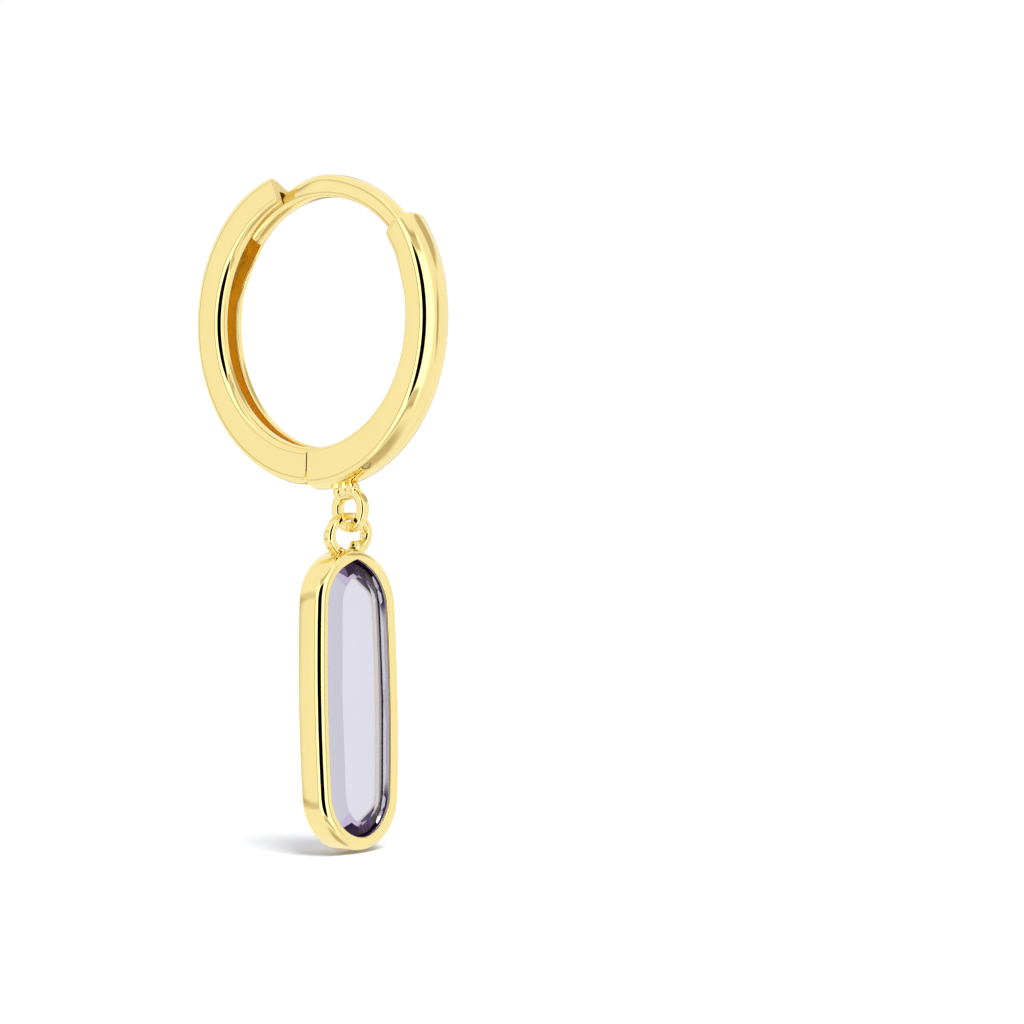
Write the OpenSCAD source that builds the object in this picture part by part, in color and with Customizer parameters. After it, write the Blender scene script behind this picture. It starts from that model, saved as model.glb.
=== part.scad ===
// Huggie drop earring: a hinged hoop with a domed band, an ear post that closes into the back half,
// and a long step-cut stone in a bezel that hangs from a fixed loop.
// +Z is up, +X faces the wearer's front, and the hoop lies in the XZ plane.
// The origin is the middle of the ear post at the top of the hoop, where it hangs in the ear lobe.
// Angles round the hoop are in degrees from the front, +X, and grow towards the top, +Z.

/* [Hoop] */
// Outer diameter of the hoop over the crown of its band
hoop_d = 14.1; // [13.6:0.1:14.6]
// Thickness of the band from its inside face to its crown
band_t = 1.7; // [1.65:0.05:1.8]
// Width of the band along the hoop's axis
band_w = 1.5; // [1.45:0.05:1.7]
// Height of the domed crown over the band's flat sides
crown_h = 0.4; // [0.3:0.05:0.5]
// Angle of the seam between the two halves, at the hinge
seam_angle = -93; // [-96:1:-90]
// Angle of the front half's rounded nose
nose_angle = 42; // [36:1:48]
// Angle of the back half's open end
mouth_angle = 110; // [106:1:116]

/* [Ear post] */
// Width of the post along the hoop's axis
post_w = 0.95; // [0.85:0.05:1]
// Thickness of the post, measured across the hoop
post_t = 0.9; // [0.8:0.05:0.92]
// Radius of the post's middle line
post_r = 5.7; // [5.65:0.01:5.75]
// Angle of the post's tip inside the back half
tip_angle = 143; // [138:1:146]

/* [Hinge] */
// Diameter of the hinge pin
pin_d = 0.44; // [0.3:0.02:0.5]
// Radius of the round knuckle that the pin runs through
knuckle_r = 0.62; // [0.5:0.02:0.64]
// Width of the front half's tongue
tongue_w = 0.48; // [0.4:0.02:0.52]
// Angle of the tongue's free end inside the back half
tongue_angle = -112; // [-114:1:-109]

/* [Drop] */
// Width of the bezel across its face
drop_w = 4.9; // [4.6:0.1:5.4]
// Height of the bezel
drop_h = 12.6; // [11:0.1:14]
// Depth of the bezel from front to back
drop_t = 1.35; // [1.3:0.05:1.5]
// Width of the metal rim round the stone
rim_w = 0.55; // [0.5:0.05:0.6]
// Height of the gap between the loop and the bezel's top
drop_gap = 0.72; // [0.6:0.02:0.9]

/* [Stone] */
// Flat facets round each end of the stone
end_facets = 8; // [6:2:10]
// Height of the crown from the girdle to the table
stone_crown = 0.26; // [0.2:0.02:0.28]
// Depth of the stone's pavilion below the girdle
stone_pavilion = 0.8; // [0.6:0.02:0.82]

/* [Loops] */
// Outer diameter of the fixed loop under the hoop
loop_d = 1.94; // [1.9:0.02:2]
// Radial thickness of the fixed loop
loop_wall = 0.4; // [0.36:0.02:0.4]
// Width of the fixed loop along the hoop's axis
loop_w = 0.4; // [0.3:0.02:0.44]
// Angle of the fixed loop round the hoop
loop_angle = -80; // [-82:1:-78]
// Diameter of the bail's wire
bail_wire = 0.42; // [0.36:0.02:0.42]
// Outer diameter of the bail
bail_d = 2.3; // [2.2:0.02:2.4]

/* [Hidden] */
$fn = 96;
gold = "gold";
lavender = "lavender";
eps = 0.01;
reach = 3;

// Band section
outer_r = hoop_d / 2;
inner_r = outer_r - band_t;
crown_r = (band_w * band_w / 4 + crown_h * crown_h) / (2 * crown_h);
inner_corner = 0.12;

// Rounded ends of the two halves
nose_r = 0.7;
mouth_r = 2.6;
mouth_len = 1.6;

// Ear post and the channel that takes it
post_corner = 0.2;
post_root = 4;
fit_gap = 0.06;
channel_w = post_w + 2 * fit_gap;
channel_r = post_r + post_t / 2 + fit_gap;
channel_angle = tip_angle + 3;
slot_w = tongue_w + 2 * fit_gap;

// Hinge, placed in the frame of the seam: outwards along the seam, and back from it
seam_gap = 0.04;
pin_back = 0.73;
pin_out = 6.26;
pin_gap = 0.03;
lug_r = pin_back - seam_gap;
tongue_in = inner_r + 0.1;
tongue_out = channel_r - 0.08;
knuckle_out = 6.88;
seam_root = 4;

// Fixed loop under the front half
loop_mid = (loop_d - loop_wall) / 2;
loop_r = outer_r + loop_d / 2 + 0.15;
neck_r = 0.36;
neck_start = outer_r - crown_h;
loop_x = loop_r * cos(loop_angle);
loop_z = loop_r * sin(loop_angle) - post_r;

// Bail: its wire lies in the loop, just clear of the loop's inside
rest_gap = 0.05;
bail_mid = (bail_d - bail_wire) / 2;
bail_top = loop_z - (loop_d / 2 - loop_wall) + rest_gap + bail_wire / 2;
bail_z = bail_top - bail_mid;
bail_sweep = 272;

// Bezel: two round ends and two straight sides
drop_top = loop_z - loop_d / 2 - drop_gap;
drop_z = drop_top - drop_h / 2;
end_r = drop_w / 2;
end_z = drop_h / 2 - end_r;
rim_corner = 0.28;
back_corner = 0.15;

// Seat of the stone in the bezel, in depths from the bezel's middle
girdle_z = 0.24;
girdle_t = 0.08;
groove = 0.1;
groove_below = 0.07;
stone_gap = 0.03;
ledge_w = 0.22;
ledge_t = 0.2;

// Stone: one row for each ring of corners, from the back to the table
stone_r = end_r - rim_w + groove - stone_gap;
STONE_RINGS = [ // depth, inset
    [girdle_z - stone_pavilion, stone_r - 0.12],
    [girdle_z - 0.85 * stone_pavilion, 1.2],
    [girdle_z - 0.45 * stone_pavilion, 0.55],
    [girdle_z, 0],
    [girdle_z + girdle_t, 0],
    [girdle_z + girdle_t + stone_crown, 0.78]
];

// A section swept round the hoop from angle a0 to angle a1
module round_hoop(a0, a1) {
    rotate([90, 0, 0]) rotate([0, 0, a0]) rotate_extrude(angle = a1 - a0) children();
}

// The frame at one angle of the hoop: X outwards, Z along the hoop, Y across it
module at_angle(a) {
    rotate([0, -a, 0]) children();
}

// A cylinder along the hoop's axis
module cross_cylinder(r, w) {
    rotate([90, 0, 0]) cylinder(r = r, h = w, center = true);
}

// A rectangle with its four corners rounded
module rounded_box(w, h, r) {
    square([w - 2 * r, h], center = true);
    square([w, h - 2 * r], center = true);
    for (sx = [-1, 1], sy = [-1, 1])
        translate([sx * (w / 2 - r), sy * (h / 2 - r)]) circle(r, $fn = 32);
}

// Section of the band: flat inside, flat sides and a domed crown
module band_section() {
    flat_t = band_t - crown_h;
    translate([inner_r + inner_corner, -band_w / 2]) square([flat_t - inner_corner, band_w]);
    translate([inner_r, inner_corner - band_w / 2]) square([flat_t, band_w - 2 * inner_corner]);
    for (s = [-1, 1])
        translate([inner_r + inner_corner, s * (band_w / 2 - inner_corner)]) circle(inner_corner, $fn = 32);
    intersection() {
        translate([outer_r - crown_r, 0]) circle(crown_r);
        translate([outer_r - crown_h - eps, -band_w / 2]) square([crown_h + 2 * eps, band_w]);
    }
}

// Cuts the outer corner of an end that stands at Z = 0 to a round of radius r over a length
module end_cut(r, length) {
    difference() {
        translate([outer_r - r, -band_w, -length]) cube([r + 1, 2 * band_w, length + 1]);
        translate([outer_r - r, 0, -length]) cross_cylinder(r, 3 * band_w);
    }
}

// Places its children on the hinge pin's axis, in the frame of the seam
module at_pin() {
    at_angle(seam_angle) translate([pin_out, 0, -pin_back]) children();
}

// Tongue that reaches into the back half and carries the knuckle
module tongue() {
    round_hoop(tongue_angle, seam_angle + seam_root)
        translate([tongue_in, -tongue_w / 2]) square([tongue_out - tongue_in, tongue_w]);
    round_hoop(seam_angle - 6, seam_angle + seam_root)
        translate([tongue_out - eps, -tongue_w / 2]) square([knuckle_out - tongue_out, tongue_w]);
    at_pin() cross_cylinder(knuckle_r, tongue_w);
}

// Loop soldered under the front half, with its neck
module fixed_loop() {
    at_angle(loop_angle) {
        translate([loop_r, 0, 0]) rotate([90, 0, 0]) rotate_extrude()
            translate([loop_mid, 0]) square([loop_wall, loop_w], center = true);
        translate([neck_start, 0, 0]) rotate([0, 90, 0])
            cylinder(r = neck_r, h = loop_r - loop_mid - neck_start);
    }
}

module front_half() {
    color(gold) translate([0, 0, -post_r]) difference() {
        union() {
            difference() {
                round_hoop(seam_angle, nose_angle) band_section();
                at_angle(nose_angle) end_cut(nose_r, nose_r);
            }
            round_hoop(nose_angle - post_root, tip_angle)
                translate([post_r, 0]) rounded_box(post_t, post_w, post_corner);
            tongue();
            fixed_loop();
        }
        at_pin() cross_cylinder(pin_d / 2 + pin_gap, band_w);
    }
}

module back_half() {
    color(gold) translate([0, 0, -post_r]) difference() {
        round_hoop(mouth_angle, 360 + seam_angle) band_section();
        at_angle(mouth_angle) mirror([0, 0, 1]) end_cut(mouth_r, mouth_len);
        // Wide channel for the post, and the narrower slot behind it
        round_hoop(mouth_angle - 2, channel_angle)
            translate([inner_r - 1, -channel_w / 2]) square([channel_r - inner_r + 1, channel_w]);
        round_hoop(channel_angle - 2, 362 + seam_angle)
            translate([inner_r - 1, -slot_w / 2]) square([channel_r - inner_r + 1, slot_w]);
        // Notch for the knuckle, the seam's gap and the round ends of the lugs
        at_pin() {
            translate([-reach, -slot_w / 2, -knuckle_r - fit_gap])
                cube([2 * reach, slot_w, reach]);
            difference() {
                translate([0, -band_w, 0]) cube([reach, 2 * band_w, reach]);
                cross_cylinder(lug_r, 3 * band_w);
            }
        }
        at_angle(seam_angle) translate([inner_r - 1, -band_w, -seam_gap]) cube([reach + 1, 2 * band_w, reach]);
        at_pin() cross_cylinder(pin_d / 2 + pin_gap, 2 * band_w);
    }
}

module hinge_pin() {
    color(gold) translate([0, 0, -post_r]) at_pin() cross_cylinder(pin_d / 2, band_w);
}

// Section of the bezel's wall, whose outer face is at radius r
module rim_section(r) {
    half_t = drop_t / 2;
    difference() {
        union() {
            translate([r - rim_w, -half_t]) square([rim_w - rim_corner, drop_t]);
            translate([r - rim_w, back_corner - half_t])
                square([rim_w, drop_t - rim_corner - back_corner]);
            translate([r - rim_corner, half_t - rim_corner]) circle(rim_corner, $fn = 32);
            translate([r - rim_corner - eps, -half_t]) square([rim_corner + eps - back_corner, back_corner + eps]);
            translate([r - back_corner, back_corner - half_t]) circle(back_corner, $fn = 32);
            translate([r - rim_w - ledge_w, -half_t]) square([ledge_w + eps, ledge_t]);
        }
        translate([r - rim_w - eps, girdle_z - groove_below])
            square([groove + eps, girdle_t + groove_below + stone_gap]);
    }
}

// The drop's own frame: X across its face, Y up and Z out of its front
module in_drop(z) {
    translate([loop_x, 0, z]) rotate([90, 0, 90]) children();
}

module bezel() {
    color(gold) {
        in_drop(drop_z) for (side = [0, 180]) rotate([0, 0, side]) {
            translate([0, end_z]) rotate_extrude(angle = 180) rim_section(end_r);
            rotate([90, 0, 0]) linear_extrude(2 * end_z, center = true) rim_section(end_r);
        }
        in_drop(bail_z) rotate([0, 0, 90 - bail_sweep / 2]) rotate_extrude(angle = bail_sweep)
            translate([bail_mid, 0]) circle(bail_wire / 2, $fn = 32);
    }
}

// Corners of one ring of the stone: an arc of flats round each end, joined by the long sides
function stone_ring(depth, inset) = [
    for (side = [0, 180], i = [0 : end_facets])
        let (a = side + 180 * i / end_facets)
            [(stone_r - inset) * cos(a), (stone_r - inset) * sin(a) + end_z * cos(side), depth]
];

module stone() {
    corners = 2 * (end_facets + 1);
    last = len(STONE_RINGS) - 1;
    points = [for (row = STONE_RINGS, p = stone_ring(row[0], row[1])) p];
    walls = [
        for (k = [0 : last - 1], i = [0 : corners - 1])
            let (j = (i + 1) % corners)
                [k * corners + i, (k + 1) * corners + i, (k + 1) * corners + j, k * corners + j]
    ];
    culet = [for (i = [0 : corners - 1]) i];
    table = [for (i = [corners - 1 : -1 : 0]) last * corners + i];
    color(lavender) in_drop(drop_z) polyhedron(points, concat(walls, [culet], [table]));
}

front_half();
back_half();
hinge_pin();
bezel();
stone();
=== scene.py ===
import math

import bmesh
import bpy
from mathutils import Matrix, Vector


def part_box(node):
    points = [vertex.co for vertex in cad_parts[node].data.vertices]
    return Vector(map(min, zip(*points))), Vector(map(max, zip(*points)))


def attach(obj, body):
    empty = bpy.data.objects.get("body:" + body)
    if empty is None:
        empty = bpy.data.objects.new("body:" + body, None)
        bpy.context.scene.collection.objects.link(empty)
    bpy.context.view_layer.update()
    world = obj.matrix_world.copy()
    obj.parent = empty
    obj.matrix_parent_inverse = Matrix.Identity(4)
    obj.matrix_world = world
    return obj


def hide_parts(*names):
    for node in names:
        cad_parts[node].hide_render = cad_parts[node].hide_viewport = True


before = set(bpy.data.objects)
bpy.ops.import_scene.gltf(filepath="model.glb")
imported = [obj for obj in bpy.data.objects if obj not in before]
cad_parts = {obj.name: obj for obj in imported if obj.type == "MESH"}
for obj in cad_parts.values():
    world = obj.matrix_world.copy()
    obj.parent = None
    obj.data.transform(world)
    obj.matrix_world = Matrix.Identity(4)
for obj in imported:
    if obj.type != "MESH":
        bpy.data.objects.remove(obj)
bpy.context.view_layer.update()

# Lengths below are in millimetres and angles in degrees, as in the part's source.
# Angles round the hoop are counted from the front, +X, towards the top, +Z.
# The near side of the hoop is the one at -Y, which the photograph shows.
# A span is where a blend begins and where it ends.
MM = 0.001

# Hoop: distances from its axis, and half of its width
HOOP_Z = -5.7
FRONT_BAND = {"inner": 5.41, "apex": 6.75, "flat": 6.24, "half_w": 0.85}
TOP_BAND = {"inner": 5.4, "apex": 6.97, "flat": 6.49, "half_w": 0.8}
BACK_TOP_BAND = {"inner": 5.4, "apex": 6.83, "flat": 6.38, "half_w": 0.8}
BACK_BAND = {"inner": 5.3, "apex": 6.88, "flat": 6.44, "half_w": 0.77}
BOTTOM_BAND = {"inner": 5.4, "apex": 7.14, "flat": 6.66, "half_w": 0.8}
BACK_BOTTOM_BAND = {"inner": 5.36, "apex": 7.03, "flat": 6.57, "half_w": 0.8}
MIDDLE_R = 6.2
ARC_DEG = math.degrees(1 / MIDDLE_R)
EDGE_R = 0.36
INNER_EDGE_R = 0.14
INSIDE_FLAT = 0.2
SEAM = -93
NOSE = 39.5
MOUTH = 109.5
CUT_EDGE = 0.03
CUT_RIM = 0.02
FRONT_START = SEAM + 0.5
FRONT_STEPS = 150
BACK_STEPS = 170

# Rounded nose of the front half
NOSE_EDGE_R = 0.28
NOSE_IN_R = 0.75
NOSE_INNER_EDGE_R = 0.3
NOSE_EDGE_SPAN = (NOSE - 25, NOSE - 8)
NOSE_IN_BLEND = 0.15
NOSE_STEPS = 20

# Mouth, the back half's open end: how much of the height above the channel is left at its middle,
# how that changes for each millimetre across, and the least that is left
MOUTH_TOP = (0.48, -0.46, 0.18)
MOUTH_SLANT = 4.2
MOUTH_LEN = 3.0
MOUTH_FLOOR = 0.04
MOUTH_STEPS = 40
MOUTH_SPACING = 1.3
BACK_START = MOUTH + (MOUTH_LEN + 0.05) * ARC_DEG

# Hinge, out from the hoop's middle and back from the seam
PIN_OUT = 6.26
PIN_BACK = 0.73
LUG_R = 0.69
LUG_IN = 0.265
LUG_CORNER = 0.02
SEAM_GAP = 0.04
KNUCKLE_R = 0.68
KNUCKLE_ROOT = 0.4
KNUCKLE_TOP = 0.03
NOTCH_GAP = 0.06
NOTCH_END = PIN_BACK + KNUCKLE_R + NOTCH_GAP
BACK_END = 360 + SEAM - NOTCH_END * ARC_DEG
TONGUE_HALF_W = 0.24
TONGUE_ROOT = SEAM + 4
TONGUE_END = -112
TONGUE_IN = 0.1
TONGUE_OUT = 6.13
TONGUE_STEPS = 24

# Ear post: each pair is for the open stretch over the top and for the tip, hidden in the channel
POST_IN = (5.29, 5.1)
POST_IN_SPAN = (55, 120)
POST_OUT = (6.18, 5.92)
POST_OUT_SPAN = (82, 112)
POST_ROUNDNESS = (3.6, 2.1)
POST_HIDDEN_SPAN = (88, 112)
POST_ROOT_HALF_W = 0.36
POST_HALF_W = 0.47
POST_TIP_HALF_W = 0.41
POST_WIDE_SPAN = (45, 95)
POST_ROOT_Y = 0.1
POST_Y = 0.12
POST_TIP_Y = 0.2
POST_ROOT = NOSE - 5
POST_TIP = 138
POST_TIP_R = 0.08
POST_SLANT = 2.5
POST_SLANT_SPAN = (POST_TIP - 30, POST_TIP)
POST_STEPS = 110

# Channel that takes the post, and the slot that it narrows to: near side and far side
CHANNEL_SIDES = (0.25, 0.65)
CHANNEL_FLOOR = 5.99
CHANNEL_END_SIDE = 0.46
CHANNEL_EDGE_R = (0.27, 0.05)
SLOT_SIDES = (0.235, 0.295)
SLOT_SHALLOW = 5.86
SLOT_DEEP = 6.21
SLOT_EDGE_R = (0.35, 0.27)
EDGE_SPANS = ((138, 150), (148, 170))
NEAR_SIDE_SPAN = (137.5, 152)
FAR_END_SPAN = (146, 160)
FAR_SIDE_SPAN = (161, 169)
SHALLOW_SPAN = (147, 152)
DEEP_SPAN = (238, 244)
LIP_R = 0.06
LIP_DEEP = 0.12

# Fixed loop under the hoop
LOOP_ANGLE = -80
LOOP_D = 1.94
LOOP_WALL = 0.43
LOOP_W = 0.5
LOOP_EDGE_R = 0.13
LOOP_CUT = 15
LOOP_TWIST = 0.16
LOOP_TOP = 7.2
LOOP_OUT = LOOP_TOP + LOOP_D / 2

# Solder: each lump's place from its foot, its three half sizes and the phase of its unevenness
LOOP_SOLDER = [
    ((0.0, -0.02, -0.02), (0.46, 0.34, 0.36), 0.4),
    ((-0.36, -0.18, 0.04), (0.34, 0.3, 0.24), 1.9),
    ((0.34, -0.14, 0.0), (0.3, 0.22, 0.2), 3.3),
    ((0.05, 0.2, 0.02), (0.4, 0.24, 0.2), 5.0),
    ((-0.42, -0.03, -0.26), (0.28, 0.25, 0.34), 0.7),
    ((0.46, -0.03, -0.2), (0.28, 0.25, 0.36), 4.4),
    ((0.0, 0.0, -0.3), (0.5, 0.26, 0.31), 2.2)]
BAIL_SOLDER = [
    ((0.02, -0.62, -0.02), (0.34, 0.3, 0.16), 0.9),
    ((-0.03, 0.6, -0.02), (0.32, 0.28, 0.15), 2.6),
    ((0.3, 0.0, -0.1), (0.3, 0.5, 0.14), 4.1),
    ((0.0, 0.56, 0.1), (0.26, 0.4, 0.32), 1.3)]
SOLDER_OUT = BOTTOM_BAND["apex"] + 0.02
LUMP_RIPPLE = (0.07, 0.05)

# Bail: the oval ring that carries the drop
BAIL_WIRE = 0.42
BAIL_W = 0.52
BAIL_EDGE_R = 0.17
BAIL_HALF_W = 1.12
BAIL_HALF_H = 0.8
BAIL_BELOW_LOOP = 1.07
BAIL_LEAN_SPAN = (0.1, 2 * BAIL_HALF_H - 0.3)
BAIL_TOP_SIZE = 0.8
RING_TOP_SPAN = (0.5, 0.95)

# Drop: its place from the fixed loop, its outline, and its rim with the ledge behind the stone
DROP_GAP = 0.72
DROP_SHIFT = -0.15
DROP_SIDE = -0.08
DROP_W = 5.02
DROP_H = 12.6
DROP_T = 1.28
END_R = 2.4
RIM_W = 0.55
RIM_FAR_EXTRA = 0.13
RIM_EDGE_R = 0.35
RIM_BACK_R = 0.12
RIM_IN_R = 0.07
LEDGE_W = 0.1
LEDGE_END_W = 0.5
LEDGE_SPAN = (0.1, 0.9)
LEDGE_T = 0.2
PEAK_H = 0.13
PEAK_HALF_ANGLE = 24
PEAK_POWER = 1.5
RIM_STEPS = (30, 60)

# Stone: each ring's depth, how far in from the window's edge it lies at its sides and at its ends,
# and how much its end corners go in and out; then the facets along a side and round an end
STONE_RINGS = [
    (-0.36, 0.06, 0.56, 0.16),
    (-0.2, 0.0, 0.2, 0.05),
    (0.32, -0.02, -0.02, 0),
    (0.4, -0.02, -0.02, 0),
    (0.62, 0.85, 0.6, 0)]
STONE_FACETS = (2, 8)
STONE_SHARP = 3

# Marks for painted light and shade: how far the facets painted with shade face the front or the back,
# how far those at the ends face up or down, where the painted shade on the wall behind the stone
# darkens, from the middle of the end's arc, and where the painted shade inside the slot begins
BEVEL_FACING = (0.5, 0.99)
END_FACING = (0.1, 0.99)
END_UPWARDS = 0.16
SEAT_SHADE_SPAN = (0.6, 0.3)
SLOT_SHADE_FROM = BACK_BAND["inner"] + 0.1
MARK_SLACK = 0.01

# Colours, and noise as (features in a metre, detail)
GOLD_COLOURS = ((0.935, 0.77, 0.335), (0.955, 0.81, 0.375))
GOLD_WAVES = (420, 1)
GOLD_GRAIN = (9000, 3)
GOLD_ROUGH = (0.045, 0.085)
GRAIN_SHARE = 0.02
BUMP_DEPTH = 0.008
# Painted shade and inter-reflected glow inside the slot, which is also rougher
SLOT_SHADE_COLOUR = (1.0, 0.7, 0.12)
SLOT_ROUGHER = 0.4
# Painted dark shade on the mouth's flat end face, which is also made less metallic
MOUTH_SHADE_COLOUR = (0.42, 0.31, 0.105)
MOUTH_SHADE_METALLIC_LOSS = -0.8
# Wall seen only through the stone: painted pale light along its sides, painted dark shade at its ends
SEAT_PAINTED_LIGHT_COLOUR = (0.86, 0.83, 0.86)
SEAT_END_SHADE_COLOUR = (0.1, 0.04, 0.15)
SEAT_ROUGHER = 0.5
GLASS_COLOURS = ((0.84, 0.89, 0.905), (0.88, 0.92, 0.925))
GLASS_CLOUDS = (350, 2)
GLASS_POLISH = (3000, 2)
GLASS_ROUGH = (0.0, 0.015)
# Painted shade on the stone's sloping front facets
BEVEL_SHADE_COLOUR = (0.55, 0.565, 0.6)
# Painted dark purple shade on the stone's end facets, and the purple tint painted into their reflections
STONE_END_SHADE_COLOUR = (0.42, 0.25, 0.52)
STONE_END_REFLECTION_TINT = (0.6, 0.28, 0.8)
STONE_DEPTH_COLOUR = (0.43, 0.22, 0.61, 1)
STONE_DENSITY = 260
STONE_IOR = 1.54
STONE_SPECULAR = 0.25
FLOOR_COLOURS = ((0.575, 0.585, 0.6), (0.6, 0.61, 0.625))
FLOOR_MOTTLE = (60, 3)
FLOOR_ROUGH = 0.9
WHITE = (1, 1, 1)

# Camera, at the photograph's viewing angle, with the earring left of its middle
CAMERA_AZIMUTH = 41.5
CAMERA_ELEVATION = -2.3
CAMERA_ROLL = -1.0
CAMERA_DISTANCE = 300
SENSOR_W = 36
CLIP_METRES = (0.01, 10)
PIXELS_PER_MM = 23.7
IMAGE_PIXELS = 1024
HOOP_PIXEL = (322.6, 320.6)

# Light tent: a dark opening in front, then what each patch adds to the plain cloth's brightness and
# the spans at its borders. Sides and angles are counted round from the opening and heights from
# level. The panels' edges and the patch behind the object have cosines as their spans.
LIGHT_AZIMUTH = 43
OPENING = (27, 37)
OPENING_SPAN = (0.93, 1.07)
BRIGHT_LEVEL = 0.7
BRIGHT_SIDE = (50, 64)
BRIGHT_HEIGHT = (46, 54)
STRIP_LEVEL = -1.0
STRIP_SIDE = (44, 58)
STRIP_HEIGHTS = ((36, 41), (48, 54))
PANEL_EDGE_LEVEL = -0.47
PANEL_EDGE_SPANS = ((0.9, 0.935), (0.955, 0.985))
PANEL_EDGE_ANGLE = (80, 90)
PANEL_EDGE_FAINTER = -0.5
PANEL_EDGE_HEIGHT = (8, 16)
LOW_LEVEL = -0.38
LOW_HEIGHT = (-76, -56)
BEHIND_LEVEL = -0.45
BEHIND_SPAN = (0.9, 0.985)
CORNER_LEVEL = -0.4
CORNER_ANGLES = ((92, 100), (128, 140))
CORNER_HEIGHTS = ((20, 27), (46, 56))
CLOTH_SCALE = 2.2
CLOTH_LEAST = 0.92
CLOTH_VARIES = 0.16
DIM_TINT = (1, 0.72, 0.35)
DIM_SPAN = (0.2, 1.0)

# Soft light from above, given as right, away from the camera and up, and the floor
SUN_FROM = (0.38, -0.6, 1.0)
SUN_STRENGTH = 5.3
SUN_SPREAD = 40
FLOOR_GAP = 0.1
FLOOR_SIZE = 400
FLOOR_RISE = 7.5

X, Y, Z = Vector((1, 0, 0)), Vector((0, 1, 0)), Vector((0, 0, 1))


def turned(radius, y, angle):
    """A point of the hoop: its distance from the hoop's axis, its place along it and its angle."""
    a = math.radians(angle)
    return Vector((radius * math.cos(a), y, radius * math.sin(a) + HOOP_Z))


LOOP_MID = turned(LOOP_OUT, 0, LOOP_ANGLE)
DROP_X = LOOP_MID.x + DROP_SHIFT
DROP_TOP = LOOP_MID.z - LOOP_D / 2 - DROP_GAP
DROP_Z = DROP_TOP - DROP_H / 2


def blend(a, b, share):
    return a + (b - a) * share


def smooth(x, low, high):
    t = min(max((x - low) / (high - low), 0), 1)
    return t * t * (3 - 2 * t)


def soft_limit(value, limit, k, sign):
    """The smaller of two values for sign 1, or the larger for -1, blended over k."""
    d = sign * (value - limit)
    if k < 1e-6:
        return min(value, limit) if sign > 0 else max(value, limit)
    if d > 20 * k:
        return limit
    return value - sign * k * math.log1p(math.exp(d / k))


def end_drop(t, r):
    """How far a rounding of radius r has fallen at distance t from the end."""
    return r - math.sqrt(r * r - (r - t) ** 2) if t < r else 0


def arc(cx, cy, r, a0, a1, n):
    """Points on an arc, both ends included."""
    steps = [math.radians(a0 + (a1 - a0) * i / n) for i in range(n + 1)]
    return [(cx + r * math.cos(a), cy + r * math.sin(a)) for a in steps]


def inset(section, e):
    """A closed section moved inwards by e."""
    count = len(section)
    out = []
    for i, (x, y) in enumerate(section):
        (x0, y0), (x1, y1) = section[i - 1], section[(i + 1) % count]
        dx, dy = x1 - x0, y1 - y0
        size = math.hypot(dx, dy) or 1
        out.append((x - dy / size * e, y + dx / size * e))
    return out


def pillow(x0, x1, half_w, y_mid, power, n=48):
    """A closed oblong section with bowed sides and soft corners."""
    points = []
    for i in range(n):
        c, s = math.cos(2 * math.pi * (i + 0.5) / n), math.sin(2 * math.pi * (i + 0.5) / n)
        x = math.copysign(abs(c) ** (2 / power), c)
        y = math.copysign(abs(s) ** (2 / power), s)
        points.append(((x0 + x1) / 2 + (x1 - x0) / 2 * x, y_mid + half_w * y))
    return points


def rounded_rectangle(x0, x1, half_w, r, n):
    points = arc(x0 + r, -half_w + r, r, 180, 270, n)
    points += arc(x1 - r, -half_w + r, r, 270, 360, n)
    points += arc(x1 - r, half_w - r, r, 0, 90, n)
    points += arc(x0 + r, half_w - r, r, 90, 180, n)
    return points


def sweep(rings, closed=False):
    """A shell through rings of equal length, capped at both ends unless it closes on itself."""
    n = len(rings[0])
    verts = [p for ring in rings for p in ring]
    last = len(rings) if closed else len(rings) - 1
    faces = []
    for k in range(last):
        a, b = k * n, (k + 1) % len(rings) * n
        faces += [(a + i, a + (i + 1) % n, b + (i + 1) % n, b + i) for i in range(n)]
    if not closed:
        faces.append(tuple(range(n - 1, -1, -1)))
        faces.append(tuple(range((len(rings) - 1) * n, len(rings) * n)))
    return verts, faces


def add_piece(name, shells, material, sharp=35):
    """One object from closed shells in millimetres, shaded smooth except across sharp edges."""
    verts, faces = [], []
    for shell_verts, shell_faces in shells:
        base = len(verts)
        verts += [v * MM for v in shell_verts]
        faces += [tuple(base + i for i in face) for face in shell_faces]
    mesh = bpy.data.meshes.new(name)
    mesh.from_pydata(verts, [], faces)
    mesh.validate()
    work = bmesh.new()
    work.from_mesh(mesh)
    bmesh.ops.recalc_face_normals(work, faces=work.faces)
    work.to_mesh(mesh)
    work.free()
    mesh.shade_smooth()
    mesh.set_sharp_from_angle(angle=math.radians(sharp))
    mesh.materials.append(material)
    obj = bpy.data.objects.new(name, mesh)
    bpy.context.scene.collection.objects.link(obj)
    return obj


# The hoop's band
def band_size(name, angle):
    """A size of the band at one angle, blended between its front or back and its bottom or top."""
    a = math.radians(angle)
    ends = FRONT_BAND if math.cos(a) > 0 else BACK_BAND
    if angle < 0:
        pole = BOTTOM_BAND
    elif angle < 90:
        pole = TOP_BAND
    else:
        pole = BACK_TOP_BAND if angle < 180 else BACK_BOTTOM_BAND
    return blend(ends[name], pole[name], math.sin(a) ** 2)


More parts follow.
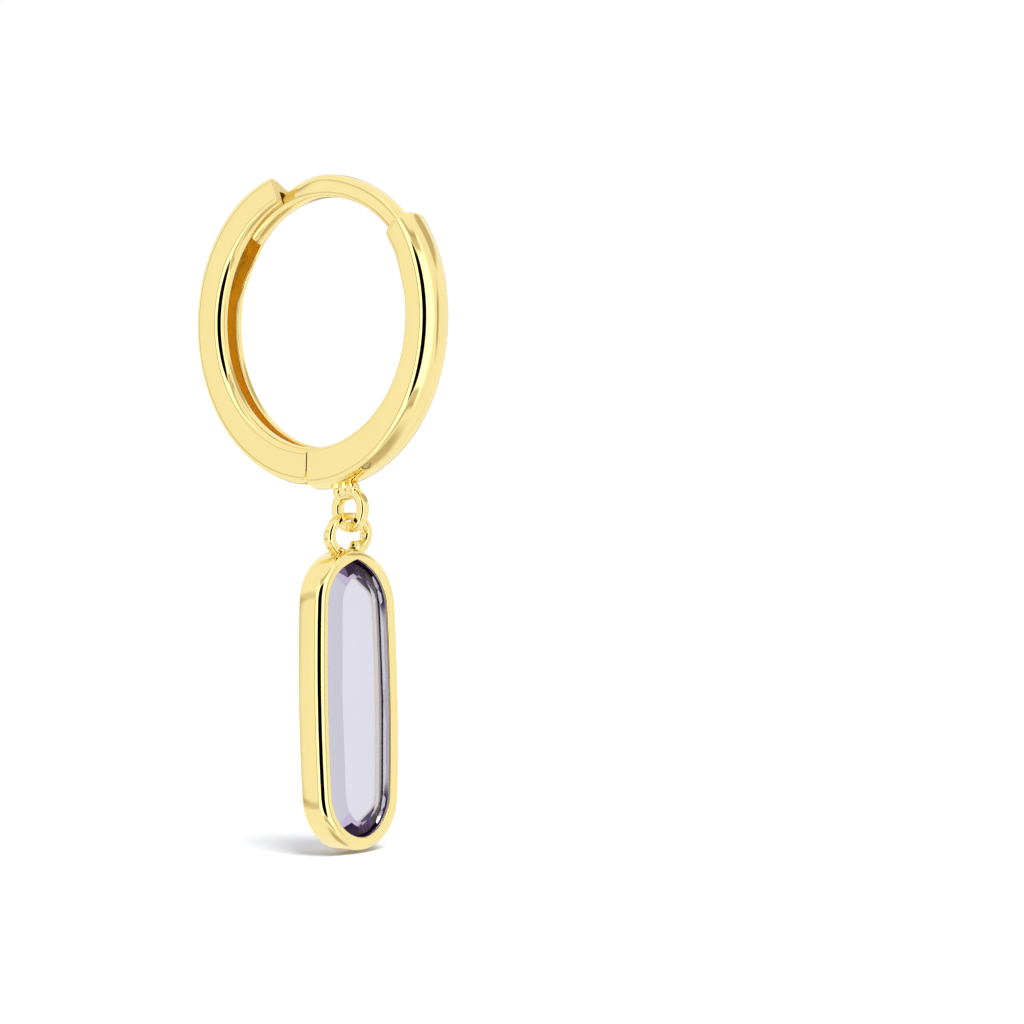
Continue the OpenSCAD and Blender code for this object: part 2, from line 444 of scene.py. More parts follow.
def band_side(angle, edge_r, groove=None, crown_stop=0.0):
    """Half of the band's section from inside to crown, as (distance from the axis, half-width).

    A groove is given as its half-width and its floor's distance from the axis. With a crown stop
    the half is left open in the middle, from the groove's wall to that half-width at the crown.
    """
    inner, apex, flat, half_w = (band_size(name, angle) for name in ("inner", "apex", "flat", "half_w"))
    a, b = apex - flat, half_w - EDGE_R
    dome = (a * a + b * b - EDGE_R ** 2) / (2 * (a - EDGE_R))
    turn = math.degrees(math.atan2(b, flat - apex + dome))
    stop = math.degrees(math.asin(crown_stop / dome))
    points = [(inner, 0.0), (inner, INSIDE_FLAT)]
    if groove:
        lip, floor = groove
        points = [(floor, 0), (floor, lip), (inner + LIP_DEEP, lip)]
        for q in (90, 60, 30, 0):
            c, s = math.cos(math.radians(q)), math.sin(math.radians(q))
            points.append((inner + LIP_R - LIP_R * c, lip + LIP_R - LIP_R * s))
    if crown_stop:
        points = points[2:]
    points += [(x, -y) for x, y in arc(inner + edge_r, edge_r - half_w, edge_r, 180, 270, 12)]
    points += [(x, -y) for x, y in arc(flat, -b, EDGE_R, 270, 360 - turn, 16)]
    points += [(x, -y) for x, y in arc(apex - dome, 0, dome, 360 - turn, 360 - stop, 12)][1:]
    return points


def band_section(angle, edges, grooves=(None, None)):
    """The band's whole section at one angle, from the radii of its inner edges and its grooves."""
    near = [(x, -y) for x, y in band_side(angle, edges[0], grooves[0])]
    far = band_side(angle, edges[1], grooves[1])
    return near + far[-2:0:-1]


def slant_share(y):
    """How much of a slant a point across the hoop gets, from 0 at the near side to 1 at the far."""
    return 0.5 + y / (2 * TOP_BAND["half_w"])


def hoop_ring(section, angle, slant=0.0):
    """A section turned to its angle, which grows by the slant from the near side to the far side."""
    return [turned(x, y, angle + slant * slant_share(y)) for x, y in section]


def cut_end(section, angle, slant=0.0):
    """Rings of a flat end with a small rounded edge, from the end towards larger angles."""
    rings = [hoop_ring(inset(section, CUT_EDGE + CUT_RIM), angle, slant)]
    for q in (0, 30, 60, 90):
        e = CUT_EDGE * (1 - math.sin(math.radians(q)))
        t = CUT_EDGE * (1 - math.cos(math.radians(q)))
        rings.append(hoop_ring(inset(section, e), angle + t * ARC_DEG, slant))
    return rings


def front_band():
    edges = (INNER_EDGE_R, INNER_EDGE_R)
    rings = cut_end(band_section(SEAM, edges), SEAM)
    stop = NOSE - NOSE_IN_R * ARC_DEG
    for i in range(FRONT_STEPS):
        angle = FRONT_START + (stop - FRONT_START) * i / FRONT_STEPS
        r = blend(INNER_EDGE_R, NOSE_INNER_EDGE_R, smooth(angle, *NOSE_EDGE_SPAN))
        rings.append(hoop_ring(band_section(angle, (r, r)), angle))
    edges = (NOSE_INNER_EDGE_R, NOSE_INNER_EDGE_R)
    for i in range(NOSE_STEPS + 1):
        t = NOSE_IN_R * (1 - math.sin(math.pi / 2 * i / NOSE_STEPS))
        angle = NOSE - t * ARC_DEG
        rise = end_drop(t, NOSE_IN_R)
        inside = band_size("inner", angle) + rise
        section = inset(band_section(angle, edges), end_drop(t, NOSE_EDGE_R))
        section = [(soft_limit(x, inside, NOSE_IN_BLEND * rise, -1), y) for x, y in section]
        rings.append(hoop_ring(section, angle))
    rings.append(hoop_ring(inset(section, CUT_RIM), NOSE))
    return sweep(rings)


# The ear post
def post_ring(angle, e=0.0, past=0.0):
    """The post's section at one angle, slanted towards its tip."""
    wide = smooth(angle, *POST_WIDE_SPAN)
    hidden = smooth(angle, *POST_HIDDEN_SPAN)
    inner = blend(*POST_IN, smooth(angle, *POST_IN_SPAN))
    outer = blend(*POST_OUT, smooth(angle, *POST_OUT_SPAN))
    half_w = blend(blend(POST_ROOT_HALF_W, POST_HALF_W, wide), POST_TIP_HALF_W, hidden)
    y_mid = blend(POST_Y + POST_ROOT_Y * (1 - wide), POST_TIP_Y, hidden)
    section = inset(pillow(inner, outer, half_w, y_mid, blend(*POST_ROUNDNESS, hidden)), e)
    slant = POST_SLANT * smooth(angle, *POST_SLANT_SPAN)
    return [turned(x, y, angle + past - slant * (y_mid + half_w - y) / (2 * half_w)) for x, y in section]


def ear_post():
    rings = [post_ring(POST_ROOT + (POST_TIP - POST_ROOT) * i / POST_STEPS) for i in range(POST_STEPS + 1)]
    for q in (30, 60, 90):
        e = POST_TIP_R * (1 - math.cos(math.radians(q)))
        t = POST_TIP_R * math.sin(math.radians(q))
        rings.append(post_ring(POST_TIP, e, t * ARC_DEG))
    rings.append(post_ring(POST_TIP, POST_TIP_R + CUT_RIM, POST_TIP_R * ARC_DEG))
    return sweep(rings)


# The hinge's tongue with its knuckle, on the front half
def tongue():
    low, high, w = BOTTOM_BAND["inner"] + TONGUE_IN, TONGUE_OUT, TONGUE_HALF_W
    section = [(low, -w), (high, -w), (high, w), (low, w)]
    rings = []
    for i in range(TONGUE_STEPS + 1):
        rings.append(hoop_ring(section, TONGUE_END + (TONGUE_ROOT - TONGUE_END) * i / TONGUE_STEPS))
    return sweep(rings)


def seam_frame(out, back):
    """A point in the hoop's plane, out along the seam and back from it."""
    a = math.radians(SEAM)
    radial = Vector((math.cos(a), 0, math.sin(a)))
    along = Vector((-math.sin(a), 0, math.cos(a)))
    return radial * out - along * back + Vector((0, 0, HOOP_Z))


def knuckle():
    """Round knuckle on the tongue, between the two lugs, with the root that joins the front half."""
    outline = [seam_frame(x, y) for x, y in arc(PIN_OUT, PIN_BACK, KNUCKLE_R, 0, 180, 18)]
    outline.append(seam_frame(PIN_OUT - KNUCKLE_R, -KNUCKLE_ROOT))
    outline.append(seam_frame(PIN_OUT + KNUCKLE_R + KNUCKLE_TOP, -KNUCKLE_ROOT))
    return sweep([[p + Vector((0, y, 0)) for p in outline] for y in (-TONGUE_HALF_W, TONGUE_HALF_W)])


# The back half, with its channel, its slot and the hinge's lugs
def back_edges(angle):
    """Radii of the back half's inner edges, smaller beside the wide channel."""
    return [blend(CHANNEL_EDGE_R[side], SLOT_EDGE_R[side], smooth(angle, *EDGE_SPANS[side]))
            for side in (0, 1)]


def back_grooves(angle):
    """The channel, which narrows to the slot, at one angle: each side's half-width and the floor."""
    floor = blend(CHANNEL_FLOOR, SLOT_SHALLOW, smooth(angle, *SHALLOW_SPAN))
    floor = blend(floor, SLOT_DEEP, smooth(angle, *DEEP_SPAN))
    near = blend(CHANNEL_SIDES[0], SLOT_SIDES[0], smooth(angle, *NEAR_SIDE_SPAN))
    far = blend(CHANNEL_SIDES[1], CHANNEL_END_SIDE, smooth(angle, *FAR_END_SPAN))
    far = blend(far, SLOT_SIDES[1], smooth(angle, *FAR_SIDE_SPAN))
    return (near, floor), (far, floor)


def back_section(angle):
    return band_section(angle, back_edges(angle), back_grooves(angle))


def lowered(x, y, fallen):
    """A point of the section with what lies above the channel pressed down, more on the far side."""
    base = CHANNEL_FLOOR + MOUTH_FLOOR
    at_middle, per_mm, least = MOUTH_TOP
    share = 1 - fallen * (1 - max(at_middle + per_mm * y, least))
    return (base + (x - base) * share if x > base else x), y


def back_band():
    rings = []
    for i in range(MOUTH_STEPS + 1):
        t = MOUTH_LEN * (i / MOUTH_STEPS) ** MOUTH_SPACING
        angle = MOUTH + t * ARC_DEG
        fallen = (1 - t / MOUTH_LEN) ** 2
        section = [lowered(x, y, fallen) for x, y in back_section(angle)]
        if i == 0:
            rings = cut_end(section, angle, MOUTH_SLANT)
        elif t > CUT_EDGE:
            rings.append(hoop_ring(section, angle, MOUTH_SLANT * (1 - t / MOUTH_LEN)))
    for i in range(BACK_STEPS + 1):
        angle = BACK_START + (BACK_END - BACK_START) * i / BACK_STEPS
        rings.append(hoop_ring(back_section(angle), angle))
    return sweep(rings)


def hinge_lug(side):
    """One of the two lugs that hold the hinge pin, beside the knuckle; side is -1 for the near one."""
    backs = [NOTCH_END + (PIN_BACK - NOTCH_END) * i / 8 for i in range(8)]
    backs += [SEAM_GAP + (PIN_BACK - SEAM_GAP) * (1 - math.sin(math.pi / 2 * i / 16)) for i in range(17)]
    rings = []
    for back in backs:
        angle = 360 + SEAM - back * ARC_DEG
        edge_r = back_edges(angle)[(side + 1) // 2]
        section = band_side(angle, edge_r, (LUG_IN, SLOT_DEEP), LUG_IN)
        if back < PIN_BACK:
            limit = PIN_OUT + math.sqrt(max(LUG_R ** 2 - (PIN_BACK - back) ** 2, 0))
            section = [(soft_limit(x, limit, LUG_CORNER, 1), y) for x, y in section]
        section = [(x, side * y) for x, y in section]
        rings.append(hoop_ring(section if side < 0 else section[::-1], angle))
    return sweep(rings)


# The fixed loop and the bail, with their solder
def ring_sweep(centre, axis_u, axis_v, size_u, size_v, section, start=0, stop=360, n=72,
               twist=0.0, top_size=1.0):
    """A ring in the plane of two directions, with a section given as (outwards, across).

    It is thinner at its top by the top size, and an open ring's ends stand apart by the twist.
    """
    across = axis_v.cross(axis_u)
    closed = stop - start >= 360
    rings = []
    for i in range(n if closed else n + 1):
        a = math.radians(start + (stop - start) * i / n)
        out = (axis_u * (math.cos(a) / size_u) + axis_v * (math.sin(a) / size_v)).normalized()
        middle = centre + axis_u * (size_u * math.cos(a)) + axis_v * (size_v * math.sin(a))
        middle += across * twist * (i / n - 0.5)
        size = blend(1, top_size, smooth(math.sin(a), *RING_TOP_SPAN))
        rings.append([middle + out * x * size + across * y * size for x, y in section])
    return sweep(rings, closed)


def lump(centre, size, phase, n=20):
    """A lump of solder: a ball with three half sizes and an uneven surface."""
    rings = []
    for k in range(1, n):
        v = math.pi * k / n - math.pi / 2
        ring = []
        for i in range(2 * n):
            u = math.pi * i / n
            r = 1 + LUMP_RIPPLE[0] * math.sin(3 * u + phase) * math.cos(v)
            r += LUMP_RIPPLE[1] * math.sin(5 * v + 2 * phase)
            x = size[0] * math.cos(u) * math.cos(v)
            y = size[1] * math.sin(u) * math.cos(v)
            ring.append(centre + Vector((x, y, size[2] * math.sin(v))) * r)
        rings.append(ring)
    return sweep(rings)


def solder(foot, lumps):
    return [lump(foot + Vector(place), size, phase) for place, size, phase in lumps]


def fixed_loop():
    """The loop under the hoop, bent from wire, with a cut in its lowest stretch."""
    w = LOOP_WALL / 2
    section = rounded_rectangle(-w, w, LOOP_W / 2, LOOP_EDGE_R, 5)
    r = LOOP_D / 2 - w
    start, stop = -90 + LOOP_CUT / 2, 270 - LOOP_CUT / 2
    return ring_sweep(LOOP_MID, X, Z, r, r, section, start, stop, 90, LOOP_TWIST)


def loop_solder():
    """Neck and solder that join the loop to the hoop."""
    return solder(turned(SOLDER_OUT, 0, LOOP_ANGLE), LOOP_SOLDER)


def bail():
    """The bail, upright at its top and leaning to the drop's place below."""
    w = BAIL_WIRE / 2
    section = rounded_rectangle(-w, w, BAIL_W / 2, BAIL_EDGE_R, 6)
    centre = Vector((LOOP_MID.x, DROP_SIDE, LOOP_MID.z - BAIL_BELOW_LOOP))
    verts, faces = ring_sweep(centre, Y, Z, BAIL_HALF_W, BAIL_HALF_H, section, n=96,
                              top_size=BAIL_TOP_SIZE)
    for v in verts:
        v.x += DROP_SHIFT * smooth(centre.z + BAIL_HALF_H - v.z, *BAIL_LEAN_SPAN)
    return verts, faces


def bail_solder():
    """Small fillets of solder where the bail stands on the bezel."""
    return solder(Vector((DROP_X, DROP_SIDE, DROP_TOP)), BAIL_SOLDER)


# The drop
def barrel(side_steps, end_steps):
    """The drop's outline, round at its ends and slightly bowed at its sides.

    Each point comes with its outward direction, both in the drop's face.
    """
    end_mid = DROP_H / 2 - END_R
    half_w = DROP_W / 2
    side_r = (end_mid ** 2 + half_w ** 2 - END_R ** 2) / (2 * (half_w - END_R))
    side_mid = half_w - side_r
    tilt = math.degrees(math.atan2(end_mid, -side_mid))
    points = []
    for sign in (1, -1):
        for i in range(side_steps):
            a = math.radians(-tilt + 2 * tilt * i / side_steps)
            c, s = sign * math.cos(a), sign * math.sin(a)
            points.append((sign * side_mid + side_r * c, side_r * s, c, s))
        for i in range(end_steps):
            a = math.radians(tilt + (180 - 2 * tilt) * i / end_steps)
            c, s = sign * math.cos(a), sign * math.sin(a)
            points.append((END_R * c, sign * end_mid + END_R * s, c, s))
    return points


def drop_point(x, y, depth):
    return Vector((DROP_X + depth, DROP_SIDE + x, DROP_Z + y))


def rim_section(width, ledge):
    """Section of the bezel's wall with the ledge behind the stone: (inwards from its outline, depth)."""
    half_t = DROP_T / 2
    corner = (0, 22, 45, 67, 90)
    section = []
    for q in corner:
        c, s = math.cos(math.radians(q)), math.sin(math.radians(q))
        section.append((RIM_BACK_R - RIM_BACK_R * s, -half_t + RIM_BACK_R - RIM_BACK_R * c))
    for q in range(0, 91, 5):
        c, s = math.cos(math.radians(q)), math.sin(math.radians(q))
        section.append((RIM_EDGE_R - RIM_EDGE_R * c, half_t - RIM_EDGE_R + RIM_EDGE_R * s))
    for q in corner:
        c, s = math.cos(math.radians(q)), math.sin(math.radians(q))
        section.append((width - RIM_IN_R + RIM_IN_R * s, half_t - RIM_IN_R + RIM_IN_R * c))
    section += [(width, half_t - 2 * RIM_IN_R), (width, -half_t + LEDGE_T)]
    section += [(width + ledge, -half_t + LEDGE_T), (width + ledge, -half_t)]
    return section


def rim_width(nx):
    """The rim's width where its outline faces nx towards the far side, a little wider on that side."""
    return RIM_W + RIM_FAR_EXTRA * smooth(nx, 0, 1)


def rim():
    """The bezel's wall, with a small peak in the window's top under the bail."""
    rings = []
    for x, y, nx, ny in barrel(*RIM_STEPS):
        off_top = math.degrees(math.atan2(abs(nx), ny)) / PEAK_HALF_ANGLE
        width = rim_width(nx) - PEAK_H * max(0, 1 - off_top) ** PEAK_POWER
        ledge = blend(LEDGE_W, LEDGE_END_W, smooth(abs(ny), *LEDGE_SPAN))
        rings.append([drop_point(x - nx * s, y - ny * s, d) for s, d in rim_section(width, ledge)])
    return sweep(rings, closed=True)


def stone_ring(depth, side, end, zigzag):
    ring = []
    for i, (x, y, nx, ny) in enumerate(barrel(*STONE_FACETS)):
        s = rim_width(nx) + side * nx * nx + end * ny * ny + zigzag * (-1) ** i * abs(ny)
        ring.append(drop_point(x - nx * s, y - ny * s, depth))
    return ring


def stone():
    return sweep([stone_ring(*ring) for ring in STONE_RINGS])


# Materials
def node_material(name):
    material = bpy.data.materials.new(name)
    material.use_nodes = True
    tree = material.node_tree
    return material, tree, tree.nodes["Principled BSDF"]


def noise(tree, scale, detail):
    """Noise in the piece's own coordinates; scale counts features in a metre."""
    coords = tree.nodes.new("ShaderNodeTexCoord")
    node = tree.nodes.new("ShaderNodeTexNoise")
    tree.links.new(coords.outputs["Object"], node.inputs["Vector"])
    node.inputs["Scale"].default_value = scale
    node.inputs["Detail"].default_value = detail
    return node.outputs["Fac"]


def math_node(tree, operation, *values):
    node = tree.nodes.new("ShaderNodeMath")
    node.operation = operation
    for slot, value in enumerate(values):
        if isinstance(value, (int, float)):
            node.inputs[slot].default_value = value
        else:
            tree.links.new(value, node.inputs[slot])
    return node.outputs[0]


def map_range(tree, value, from_low, from_high, low=0.0, high=1.0, interpolation="LINEAR"):
    node = tree.nodes.new("ShaderNodeMapRange")
    node.interpolation_type = interpolation
    tree.links.new(value, node.inputs["Value"])
    node.inputs["From Min"].default_value = from_low
    node.inputs["From Max"].default_value = from_high
    node.inputs["To Min"].default_value = low
    node.inputs["To Max"].default_value = high
    return node.outputs["Result"]


def mix_colour(tree, share, a, b):
    node = tree.nodes.new("ShaderNodeMix")
    node.data_type = "RGBA"
    tree.links.new(share, node.inputs["Factor"])
    for socket, value in (("A", a), ("B", b)):
        if isinstance(value, tuple):
            node.inputs[socket].default_value = (*value, 1)
        else:
            tree.links.new(value, node.inputs[socket])
    return node.outputs["Result"]


def bump(tree, shader, height, distance):
    node = tree.nodes.new("ShaderNodeBump")
    tree.links.new(height, node.inputs["Height"])
    node.inputs["Distance"].default_value = distance
    tree.links.new(node.outputs["Normal"], shader.inputs["Normal"])


def attribute(tree, name):
    node = tree.nodes.new("ShaderNodeAttribute")
    node.attribute_name = name
    return node.outputs["Fac"]


def gold_material():
    """Polished yellow gold, a little uneven from casting and hand-finishing.

    Inside the slot it is duller and painted a deeper orange as shade and inter-reflected glow. The mouth's
    flat end face is painted dark and less metallic as shade. The wall that is seen only through the stone
    is painted pale along the stone's sides, as light, and dark purple at its ends, as shade.
    """
    material, tree, shader = node_material("polished_gold")
    waves = noise(tree, *GOLD_WAVES)
    grain = noise(tree, *GOLD_GRAIN)
    inside = attribute(tree, "slot_painted_shade")
    seat_painted_light_and_shade = attribute(tree, "seat_painted_light_and_shade")
    mouth_painted_shade = attribute(tree, "mouth_painted_shade")
    gold = mix_colour(tree, waves, *GOLD_COLOURS)
    # Painted shade and inter-reflected glow inside the slot
    gold = mix_colour(tree, inside, gold, SLOT_SHADE_COLOUR)
    # Painted dark shade on the mouth's end face
    gold = mix_colour(tree, mouth_painted_shade, gold, MOUTH_SHADE_COLOUR)
    # Wall behind the stone: painted pale light along its sides, painted dark shade at its ends
    wall = mix_colour(tree, map_range(tree, seat_painted_light_and_shade, 0.5, 1.0), SEAT_PAINTED_LIGHT_COLOUR, SEAT_END_SHADE_COLOUR)
    colour = mix_colour(tree, map_range(tree, seat_painted_light_and_shade, 0.0, 0.5), gold, wall)
    tree.links.new(colour, shader.inputs["Base Color"])
    # Less metallic on the mouth's end face, as part of its painted shade
    metallic = math_node(tree, "MULTIPLY_ADD", mouth_painted_shade, MOUTH_SHADE_METALLIC_LOSS, 1.0)
    tree.links.new(metallic, shader.inputs["Metallic"])
    rough = map_range(tree, grain, 0.3, 0.7, *GOLD_ROUGH)
    rough = math_node(tree, "MULTIPLY_ADD", seat_painted_light_and_shade, SEAT_ROUGHER, rough)
    rough = math_node(tree, "MULTIPLY_ADD", inside, SLOT_ROUGHER, rough)
    tree.links.new(rough, shader.inputs["Roughness"])
    bump(tree, shader, math_node(tree, "MULTIPLY_ADD", grain, GRAIN_SHARE, waves), BUMP_DEPTH * MM)
    return material


def stone_material():
    """Clear lavender glass whose colour deepens with the way through it; its sloping front facets are
    painted darker as shade, and its ends are painted dark purple as shade, with purple-tinted reflections.
    """
    material, tree, shader = node_material("lavender_glass")
    body = mix_colour(tree, noise(tree, *GLASS_CLOUDS), *GLASS_COLOURS)
    # Painted shade on the sloping front facets
    body = mix_colour(tree, attribute(tree, "bevel_painted_shade"), body, BEVEL_SHADE_COLOUR)
    # Painted dark purple shade on the end facets
    body = mix_colour(tree, attribute(tree, "deep"), body, STONE_END_SHADE_COLOUR)
    tree.links.new(body, shader.inputs["Base Color"])
    # Purple tint painted into the end facets' reflections
    end_shade_share = math_node(tree, "MULTIPLY", attribute(tree, "deep"), 2)
    tree.links.new(mix_colour(tree, end_shade_share, WHITE, STONE_END_REFLECTION_TINT), shader.inputs["Specular Tint"])
    polish = map_range(tree, noise(tree, *GLASS_POLISH), 0.35, 0.65, *GLASS_ROUGH)
    tree.links.new(polish, shader.inputs["Roughness"])
    shader.inputs["IOR"].default_value = STONE_IOR
    shader.inputs["Transmission Weight"].default_value = 1
    shader.inputs["Specular IOR Level"].default_value = STONE_SPECULAR
    absorb = tree.nodes.new("ShaderNodeVolumeAbsorption")
    absorb.inputs["Color"].default_value = STONE_DEPTH_COLOUR
    absorb.inputs["Density"].default_value = STONE_DENSITY
    tree.links.new(absorb.outputs["Volume"], tree.nodes["Material Output"].inputs["Volume"])
    return material


def floor_material():
    material, tree, shader = node_material("pale_floor")
    colour = mix_colour(tree, noise(tree, *FLOOR_MOTTLE), *FLOOR_COLOURS)
    tree.links.new(colour, shader.inputs["Base Color"])
    shader.inputs["Roughness"].default_value = FLOOR_ROUGH
    return material


# Marks on the pieces for painted light and shade, which the materials read
def mark_back_painted_shade(obj):
    """Marks the inside of the slot for painted shade and inter-reflected glow, and the mouth's flat end
    face at the ear post for painted dark shade, for the gold's material.
    """
    marks = obj.data.attributes.new("slot_painted_shade", "FLOAT", "POINT")
    ends = obj.data.attributes.new("mouth_painted_shade", "FLOAT", "POINT")
    for mark, end, vertex in zip(marks.data, ends.data, obj.data.vertices):
        x, y, z = vertex.co / MM
        out = math.hypot(x, z - HOOP_Z)
        angle = math.degrees(math.atan2(z - HOOP_Z, x))
        # The slot's inside, painted with shade and inter-reflected glow
        across = -CHANNEL_SIDES[0] - MARK_SLACK < y < CHANNEL_SIDES[1] + MARK_SLACK
        deep = SLOT_SHADE_FROM < out < SLOT_DEEP + MARK_SLACK
        mark.value = 1.0 if across and deep else 0.0
        # The mouth's flat end face, painted dark as shade
        mouth = MOUTH + MOUTH_SLANT * slant_share(y) + MARK_SLACK
        end.value = 1.0 if 90 < angle < mouth else 0.0


def mark_seat_painted_light(obj):
    """Marks the wall behind the window's edge, seen only through the stone, for painted pale light along
    the sides and painted shade that darkens towards the ends.
    """
    marks = obj.data.attributes.new("seat_painted_light_and_shade", "FLOAT", "POINT")
    section = rim_section(RIM_W, LEDGE_W)
    first, last = len(section) - 4, len(section) - 2
    rim_points = len(section) * len(barrel(*RIM_STEPS))
    end_mid = DROP_H / 2 - END_R
    start, stop = end_mid - SEAT_SHADE_SPAN[0], end_mid + SEAT_SHADE_SPAN[1]
    for i in range(rim_points):
        if first <= i % len(section) <= last:
            up = abs(obj.data.vertices[i].co.z / MM - DROP_Z)
            # 0.5 is the painted pale light along the sides, 1 the painted dark shade at the ends
            marks.data[i].value = 0.5 + 0.5 * smooth(up, start, stop)


def mark_facets_painted_shade(obj):
    """Marks the sloping facets round the stone's table for painted shade, and those at its ends, painted a
    deeper purple as shade with purple-tinted reflections.
    """
    bevels = obj.data.attributes.new("bevel_painted_shade", "FLOAT", "FACE")
    deeps = obj.data.attributes.new("deep", "FLOAT", "FACE")
    for bevel_painted_shade, deep, face in zip(bevels.data, deeps.data, obj.data.polygons):
        out, up = face.normal.x, abs(face.normal.z)
        # Sloping front facets: painted shade
        bevel_painted_shade.value = 1.0 if BEVEL_FACING[0] < out < BEVEL_FACING[1] else 0.0
        # End facets: painted dark purple shade, full on the back ones and half on the front ones
        if END_FACING[0] < abs(out) < END_FACING[1] and up > END_UPWARDS:
            deep.value = 1.0 if out < 0 else 0.5


gold = gold_material()
glass = stone_material()

front_shells = [front_band(), ear_post(), tongue(), knuckle(), fixed_loop()] + loop_solder()
front = add_piece("front_half_polished", front_shells, gold)
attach(front, "front")
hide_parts("front_half")
back = add_piece("back_half_polished", [back_band(), hinge_lug(-1), hinge_lug(1)], gold)
mark_back_painted_shade(back)
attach(back, "back")
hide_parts("back_half")
drop = add_piece("bezel_polished", [rim(), bail()] + bail_solder(), gold)
mark_seat_painted_light(drop)
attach(drop, "drop")
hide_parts("bezel")
gem = add_piece("stone_cut", [stone()], glass, STONE_SHARP)
mark_facets_painted_shade(gem)
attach(gem, "drop")
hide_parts("stone")
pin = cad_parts["hinge_pin"]
pin.data.materials.clear()
pin.data.materials.append(gold)

# Camera and studio
camera_side = math.radians(CAMERA_AZIMUTH)
camera_right = Vector((math.cos(camera_side), math.sin(camera_side), 0))
away = Vector((-math.sin(camera_side), math.cos(camera_side), 0))


def place_camera():
    e, roll = math.radians(CAMERA_ELEVATION), math.radians(CAMERA_ROLL)
    to_camera = Z * math.sin(e) - away * math.cos(e)
    up = to_camera.cross(camera_right)
    right = camera_right * math.cos(roll) + up * math.sin(roll)
    up = up * math.cos(roll) - camera_right * math.sin(roll)
    middle = IMAGE_PIXELS / 2
    aim = Vector((0, 0, HOOP_Z))
    aim += (right * ((middle - HOOP_PIXEL[0]) / PIXELS_PER_MM)
            + up * ((HOOP_PIXEL[1] - middle) / PIXELS_PER_MM))
    camera = bpy.data.objects.new("camera", bpy.data.cameras.new("camera"))
    bpy.context.scene.collection.objects.link(camera)
    turn = Matrix((right, up, to_camera)).transposed()
    camera.matrix_world = Matrix.Translation((aim + to_camera * CAMERA_DISTANCE) * MM) @ turn.to_4x4()
    camera.data.sensor_width = SENSOR_W
    camera.data.lens = PIXELS_PER_MM * CAMERA_DISTANCE * SENSOR_W / IMAGE_PIXELS
    camera.data.clip_start, camera.data.clip_end = CLIP_METRES
    bpy.context.scene.camera = camera


def rising(tree, value, span):
    """A value that goes from 0 to 1 over the span."""
    return map_range(tree, value, *span, interpolation="SMOOTHSTEP")


def falling(tree, value, span):
    """A value that goes from 1 to 0 over the span."""
    return math_node(tree, "SUBTRACT", 1, rising(tree, value, span))


def product(tree, *values):
    out = values[0]
    for value in values[1:]:
        out = math_node(tree, "MULTIPLY", out, value)
    return out


def degrees_node(tree, value):
    return math_node(tree, "MULTIPLY", value, 180 / math.pi)


def tent_brightness(tree):
    """How bright the tent is in each direction: dark opening, bright and dim patches, uneven cloth."""
    coords = tree.nodes.new("ShaderNodeTexCoord").outputs["Generated"]

    def component(direction):
        node = tree.nodes.new("ShaderNodeVectorMath")
        node.operation = "DOT_PRODUCT"
        tree.links.new(coords, node.inputs[0])
        node.inputs[1].default_value = direction
        return node.outputs["Value"]

    a = math.radians(LIGHT_AZIMUTH)
    right = component((math.cos(a), math.sin(a), 0))
    towards = component((math.sin(a), -math.cos(a), 0))
    angle = degrees_node(tree, math_node(tree, "ARCTAN2", right, towards))
    side = math_node(tree, "ABSOLUTE", angle)
    height = degrees_node(tree, math_node(tree, "ARCSINE", component(Z)))
    height_abs = math_node(tree, "ABSOLUTE", height)
    # Bright cloth on the photographer's side, with dim strips above and below it
    bright = product(tree, falling(tree, side, BRIGHT_SIDE), falling(tree, height_abs, BRIGHT_HEIGHT))
    level = math_node(tree, "MULTIPLY_ADD", bright, BRIGHT_LEVEL, 1.0)
    strip = product(tree, rising(tree, height_abs, STRIP_HEIGHTS[0]),
                    falling(tree, height_abs, STRIP_HEIGHTS[1]), falling(tree, side, STRIP_SIDE))
    level = math_node(tree, "MULTIPLY_ADD", strip, STRIP_LEVEL, level)
    # Dark edges round the two side panels, fainter above and below the middle
    panel = math_node(tree, "ABSOLUTE", component((math.sin(camera_side), math.cos(camera_side), 0)))
    edge = product(tree, rising(tree, panel, PANEL_EDGE_SPANS[0]),
                   falling(tree, panel, PANEL_EDGE_SPANS[1]), falling(tree, angle, PANEL_EDGE_ANGLE))
    fainter = rising(tree, height_abs, PANEL_EDGE_HEIGHT)
    edge = product(tree, edge, math_node(tree, "MULTIPLY_ADD", fainter, PANEL_EDGE_FAINTER, 1.0))
    level = math_node(tree, "MULTIPLY_ADD", edge, PANEL_EDGE_LEVEL, level)
    # Dim patches straight below and behind the object
    level = math_node(tree, "MULTIPLY_ADD", falling(tree, height, LOW_HEIGHT), LOW_LEVEL, level)
    behind = rising(tree, component(away), BEHIND_SPAN)
    level = math_node(tree, "MULTIPLY_ADD", behind, BEHIND_LEVEL, level)
    # Cloth a little uneven
    cloth = tree.nodes.new("ShaderNodeTexNoise")
    cloth.inputs["Scale"].default_value = CLOTH_SCALE
    tree.links.new(coords, cloth.inputs["Vector"])
    uneven = math_node(tree, "MULTIPLY_ADD", cloth.outputs["Fac"], CLOTH_VARIES, CLOTH_LEAST)
    level = product(tree, level, uneven)
    # Dim corner high on the right
    corner = product(tree, rising(tree, angle, CORNER_ANGLES[0]), falling(tree, angle, CORNER_ANGLES[1]),
                     rising(tree, height, CORNER_HEIGHTS[0]), falling(tree, height, CORNER_HEIGHTS[1]))
    level = math_node(tree, "MULTIPLY_ADD", corner, CORNER_LEVEL, level)
    # Dark opening with round corners, where the photographer stands
    u = math_node(tree, "DIVIDE", side, OPENING[0])
    v = math_node(tree, "DIVIDE", height, OPENING[1])
    reach = math_node(tree, "ADD", product(tree, u, u, u, u), product(tree, v, v, v, v))
    reach = math_node(tree, "POWER", reach, 0.25)
    return product(tree, level, rising(tree, reach, OPENING_SPAN))


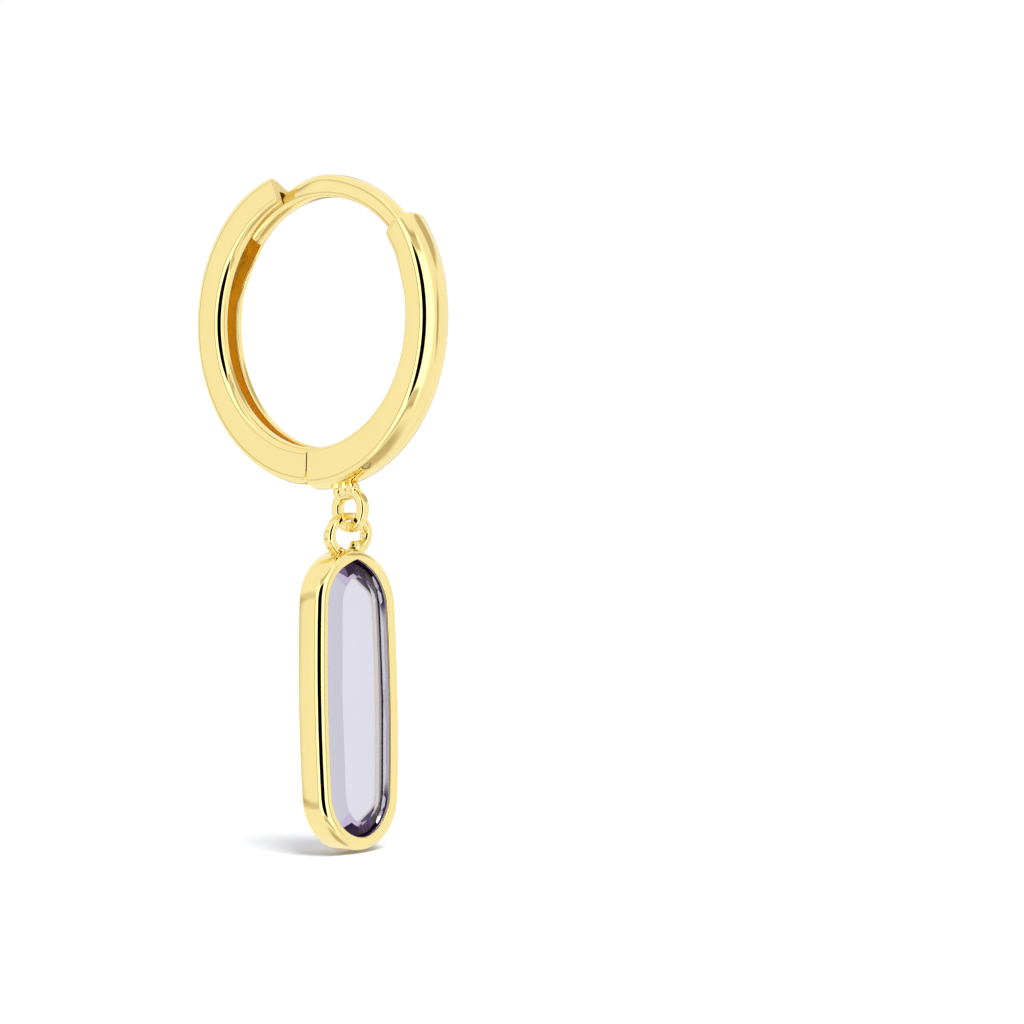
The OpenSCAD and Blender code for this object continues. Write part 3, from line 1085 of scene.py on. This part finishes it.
def studio_light():
    """A white tent round the object. What is seen directly or through the stone is plain white."""
    world = bpy.data.worlds.new("studio")
    bpy.context.scene.world = world
    world.use_nodes = True
    tree = world.node_tree
    tent = tree.nodes["Background"]
    level = tent_brightness(tree)
    tree.links.new(level, tent.inputs["Strength"])
    tree.links.new(mix_colour(tree, rising(tree, level, DIM_SPAN), DIM_TINT, WHITE), tent.inputs["Color"])
    plain = tree.nodes.new("ShaderNodeBackground")
    plain.inputs["Color"].default_value = (*WHITE, 1)
    path = tree.nodes.new("ShaderNodeLightPath")
    direct = math_node(tree, "MAXIMUM", path.outputs["Is Camera Ray"], path.outputs["Is Transmission Ray"])
    mix = tree.nodes.new("ShaderNodeMixShader")
    tree.links.new(direct, mix.inputs["Fac"])
    tree.links.new(tent.outputs[0], mix.inputs[1])
    tree.links.new(plain.outputs[0], mix.inputs[2])
    tree.links.new(mix.outputs[0], tree.nodes["World Output"].inputs["Surface"])


def soft_light():
    """One wide soft light from above, in front and a little to the right, for the drop's shadow."""
    light = bpy.data.lights.new("soft_light", "SUN")
    light.energy = SUN_STRENGTH
    light.angle = math.radians(SUN_SPREAD)
    lamp = bpy.data.objects.new("soft_light", light)
    side, back, up = SUN_FROM
    source = camera_right * side + away * back + Z * up
    lamp.rotation_euler = source.to_track_quat("Z", "Y").to_euler()
    lamp.visible_glossy = False
    bpy.context.scene.collection.objects.link(lamp)


def studio_floor(foot):
    """A plain pale sheet under the drop that rises gently behind it."""
    slope = math.tan(math.radians(FLOOR_RISE))
    corners = []
    for side, back in ((-1, -1), (1, -1), (1, 1), (-1, 1)):
        right, deep = side * FLOOR_SIZE, back * FLOOR_SIZE
        offset = camera_right * right + away * deep + Z * (deep * slope)
        corners.append(foot + offset - Z * FLOOR_GAP)
    floor = add_piece("floor", [(corners, [(0, 1, 2, 3)])], floor_material())
    floor.visible_glossy = False
    floor.visible_transmission = False


place_camera()
studio_light()
studio_floor(Vector((DROP_X, 0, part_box("bezel")[0].z / MM)))
soft_light()
bpy.context.scene.view_settings.view_transform = "Standard"
